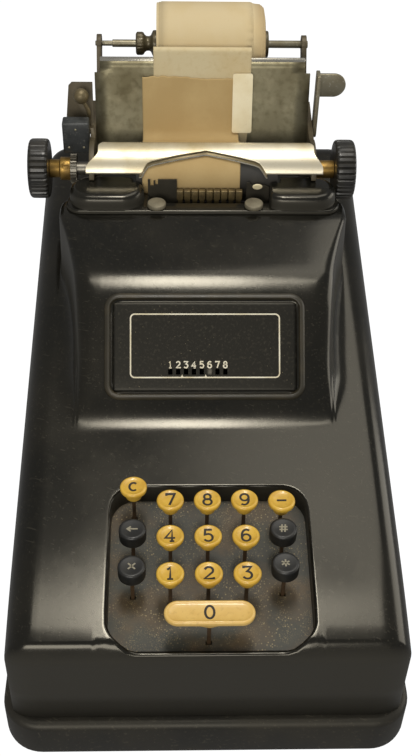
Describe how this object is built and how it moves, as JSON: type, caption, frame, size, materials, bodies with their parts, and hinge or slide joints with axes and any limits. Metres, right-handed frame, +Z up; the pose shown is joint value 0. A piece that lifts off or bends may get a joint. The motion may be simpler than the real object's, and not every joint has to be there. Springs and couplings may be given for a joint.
{
  "type": "adding machine",
  "caption": "Hand-cranked ten-key printing adding machine with a sloping enamelled case, sprung keys, platen, ribbon cover and paper roll.",
  "frame": {"origin": "on the table, under the middle of the base pan's outline", "axes": "+Z up, front of the keyboard towards -Y, +X to the operator's right"},
  "size_m": [0.218, 0.372, 0.268],
  "materials": {
    "enamel": "black gloss enamel with scuffs",
    "pan_enamel": "worn satin black enamel",
    "foot_rubber": "matt",
    "plate_olive": "dusty olive-brown paint",
    "steel": "dull machined steel",
    "key_yellow": "moulded yellow caps",
    "key_black": "moulded black caps",
    "name_black": "satin black with a white line",
    "brass": "aged",
    "spool_metal": "japanned tin",
    "ribbon_ink": "inked cotton",
    "dark_metal": "dark olive paint",
    "dull_nickel": "dull scratched nickel plate",
    "bright_nickel": "spotted bright nickel plate",
    "platen_rubber": "ground rubber",
    "knob_plastic": "fluted moulded knob",
    "paper_cream": "aged cream paper",
    "hub_brown": "brown turned collar"
  },
  "bodies": {
    "machine": {"base_pan": "pan_enamel", "rubber_feet": "foot_rubber", "case_cover": "enamel", "keyboard_plate": "plate_olive", "stem_guide_plate": "steel", "key_springs": "steel", "name_bezel": "plate_olive", "name_plate": "name_black", "left_side_frame": "steel", "right_side_frame": "steel", "frame_rods": "steel", "spool_plate": "steel", "ink_ribbon": "ribbon_ink", "ribbon_guides": "dark_metal", "ribbon_cover": "enamel", "thumb_screws": "dull_nickel", "left_carriage_plate": "dark_metal", "right_carriage_plate": "dark_metal", "tear_bar": "dull_nickel", "paper_table": "dull_nickel", "paper_guide": "bright_nickel", "paper_web": "paper_cream", "line_space_box": "dark_metal", "roll_posts": "dark_metal"},
    "key_7": {"key_7": "key_yellow"},
    "key_8": {"key_8": "key_yellow"},
    "key_9": {"key_9": "key_yellow"},
    "key_4": {"key_4": "key_yellow"},
    "key_5": {"key_5": "key_yellow"},
    "key_6": {"key_6": "key_yellow"},
    "key_1": {"key_1": "key_yellow"},
    "key_2": {"key_2": "key_yellow"},
    "key_3": {"key_3": "key_yellow"},
    "key_0": {"key_0": "key_yellow"},
    "key_correct": {"key_correct": "key_yellow"},
    "key_back_space": {"key_back_space": "key_black"},
    "key_repeat": {"key_repeat": "key_black"},
    "key_subtract": {"key_subtract": "key_yellow"},
    "key_non_add": {"key_non_add": "key_black"},
    "key_total": {"key_total": "key_black"},
    "pin_carriage": {"pin_carriage": "steel"},
    "drive": {"drive_shaft": "steel"},
    "type_set": {"lift_bar": "steel", "type_bars": "steel"},
    "adding_register": {"adding_arbor": "steel", "adding_wheels": "brass"},
    "left_ribbon_spool": {"left_spool": "spool_metal"},
    "right_ribbon_spool": {"right_spool": "spool_metal"},
    "platen": {"platen_roller": "platen_rubber", "platen_shaft": "steel", "left_knob": "knob_plastic", "right_knob": "knob_plastic", "shaft_collars": "brass", "ratchet_wheel": "steel"},
    "feed_roller": {"feed_roller": "platen_rubber"},
    "line_space_lever": {"line_space_lever": "dull_nickel"},
    "release_lever": {"release_lever": "dull_nickel"},
    "paper_supply": {"roll_spindle": "steel", "roll_hubs": "hub_brown", "paper_roll": "paper_cream"}
  },
  "joints": [
    {"name": "key_7_press", "type": "slide", "parent": "machine", "child": "key_7", "axis": [0, 0, -1], "range_m": [0, 0.005], "stiffness_N_per_m": 120, "springref_m": -0.006, "deforming": ["key_springs"]},
    {"name": "key_8_press", "type": "slide", "parent": "machine", "child": "key_8", "axis": [0, 0, -1], "range_m": [0, 0.005], "stiffness_N_per_m": 120, "springref_m": -0.006, "deforming": ["key_springs"]},
    {"name": "key_9_press", "type": "slide", "parent": "machine", "child": "key_9", "axis": [0, 0, -1], "range_m": [0, 0.005], "stiffness_N_per_m": 120, "springref_m": -0.006, "deforming": ["key_springs"]},
    {"name": "key_4_press", "type": "slide", "parent": "machine", "child": "key_4", "axis": [0, 0, -1], "range_m": [0, 0.005], "stiffness_N_per_m": 120, "springref_m": -0.006, "deforming": ["key_springs"]},
    {"name": "key_5_press", "type": "slide", "parent": "machine", "child": "key_5", "axis": [0, 0, -1], "range_m": [0, 0.005], "stiffness_N_per_m": 120, "springref_m": -0.006, "deforming": ["key_springs"]},
    {"name": "key_6_press", "type": "slide", "parent": "machine", "child": "key_6", "axis": [0, 0, -1], "range_m": [0, 0.005], "stiffness_N_per_m": 120, "springref_m": -0.006, "deforming": ["key_springs"]},
    {"name": "key_1_press", "type": "slide", "parent": "machine", "child": "key_1", "axis": [0, 0, -1], "range_m": [0, 0.005], "stiffness_N_per_m": 120, "springref_m": -0.006, "deforming": ["key_springs"]},
    {"name": "key_2_press", "type": "slide", "parent": "machine", "child": "key_2", "axis": [0, 0, -1], "range_m": [0, 0.005], "stiffness_N_per_m": 120, "springref_m": -0.006, "deforming": ["key_springs"]},
    {"name": "key_3_press", "type": "slide", "parent": "machine", "child": "key_3", "axis": [0, 0, -1], "range_m": [0, 0.005], "stiffness_N_per_m": 120, "springref_m": -0.006, "deforming": ["key_springs"]},
    {"name": "key_0_press", "type": "slide", "parent": "machine", "child": "key_0", "axis": [0, 0, -1], "range_m": [0, 0.005], "stiffness_N_per_m": 120, "springref_m": -0.006, "deforming": ["key_springs"]},
    {"name": "key_correct_press", "type": "slide", "parent": "machine", "child": "key_correct", "axis": [0, 0, -1], "range_m": [0, 0.005], "stiffness_N_per_m": 120, "springref_m": -0.006, "deforming": ["key_springs"]},
    {"name": "key_back_space_press", "type": "slide", "parent": "machine", "child": "key_back_space", "axis": [0, 0, -1], "range_m": [0, 0.005], "stiffness_N_per_m": 120, "springref_m": -0.006, "deforming": ["key_springs"]},
    {"name": "key_repeat_press", "type": "slide", "parent": "machine", "child": "key_repeat", "axis": [0, 0, -1], "range_m": [0, 0.005], "stiffness_N_per_m": 120, "springref_m": -0.006, "deforming": ["key_springs"]},
    {"name": "key_subtract_press", "type": "slide", "parent": "machine", "child": "key_subtract", "axis": [0, 0, -1], "range_m": [0, 0.005], "stiffness_N_per_m": 120, "springref_m": -0.006, "deforming": ["key_springs"]},
    {"name": "key_non_add_press", "type": "slide", "parent": "machine", "child": "key_non_add", "axis": [0, 0, -1], "range_m": [0, 0.005], "stiffness_N_per_m": 120, "springref_m": -0.006, "deforming": ["key_springs"]},
    {"name": "key_total_press", "type": "slide", "parent": "machine", "child": "key_total", "axis": [0, 0, -1], "range_m": [0, 0.005], "stiffness_N_per_m": 120, "springref_m": -0.006, "deforming": ["key_springs"]},
    {"name": "pin_carriage_step", "type": "slide", "parent": "machine", "child": "pin_carriage", "axis": [1, 0, 0], "range_m": [-0.02215, 0.00886]},
    {"name": "drive_turn", "type": "hinge", "parent": "machine", "child": "drive", "pos_m": [0, 0.058, 0.07], "axis": [1, 0, 0], "range_deg": [0, 60]},
    {"name": "type_rise", "type": "slide", "parent": "machine", "child": "type_set", "axis": [0, 0, 1], "range_m": [0, 0.0201], "stiffness_N_per_m": 40, "springref_m": -0.02},
    {"name": "adding_turn", "type": "hinge", "parent": "machine", "child": "adding_register", "pos_m": [0, 0.038, 0.0984], "axis": [1, 0, 0], "range_deg": [-190, 0]},
    {"name": "left_spool_spin", "type": "hinge", "parent": "machine", "child": "left_ribbon_spool", "pos_m": [-0.06, 0.0745, 0.1747], "axis": [0, 0, 1], "continuous": true},
    {"name": "right_spool_spin", "type": "hinge", "parent": "machine", "child": "right_ribbon_spool", "pos_m": [0.06, 0.0745, 0.1747], "axis": [0, 0, 1], "continuous": true},
    {"name": "platen_spin", "type": "hinge", "parent": "machine", "child": "platen", "pos_m": [0, 0.097, 0.1915], "axis": [1, 0, 0], "continuous": true},
    {"name": "feed_roller_spin", "type": "hinge", "parent": "machine", "child": "feed_roller", "pos_m": [0, 0.1088, 0.17106], "axis": [1, 0, 0], "continuous": true},
    {"name": "line_space_swing", "type": "hinge", "parent": "machine", "child": "line_space_lever", "pos_m": [-0.071, 0.1146, 0.208], "axis": [1, 0, 0], "range_deg": [0, 18]},
    {"name": "release_swing", "type": "hinge", "parent": "machine", "child": "release_lever", "pos_m": [0.0696, 0.121, 0.205], "axis": [1, 0, 0], "range_deg": [0, 25]},
    {"name": "roll_spin", "type": "hinge", "parent": "machine", "child": "paper_supply", "pos_m": [0, 0.159, 0.243], "axis": [1, 0, 0], "continuous": true}
  ],
  "couplings": [
    {"joint": "drive_turn", "follows": "type_rise", "rad_per_m": 52.083},
    {"joint": "adding_turn", "follows": "type_rise", "rad_per_m": -156.25},
    {"joint": "right_spool_spin", "follows": "left_spool_spin", "ratio": 1},
    {"joint": "feed_roller_spin", "follows": "platen_spin", "ratio": -2.3881}
  ]
}
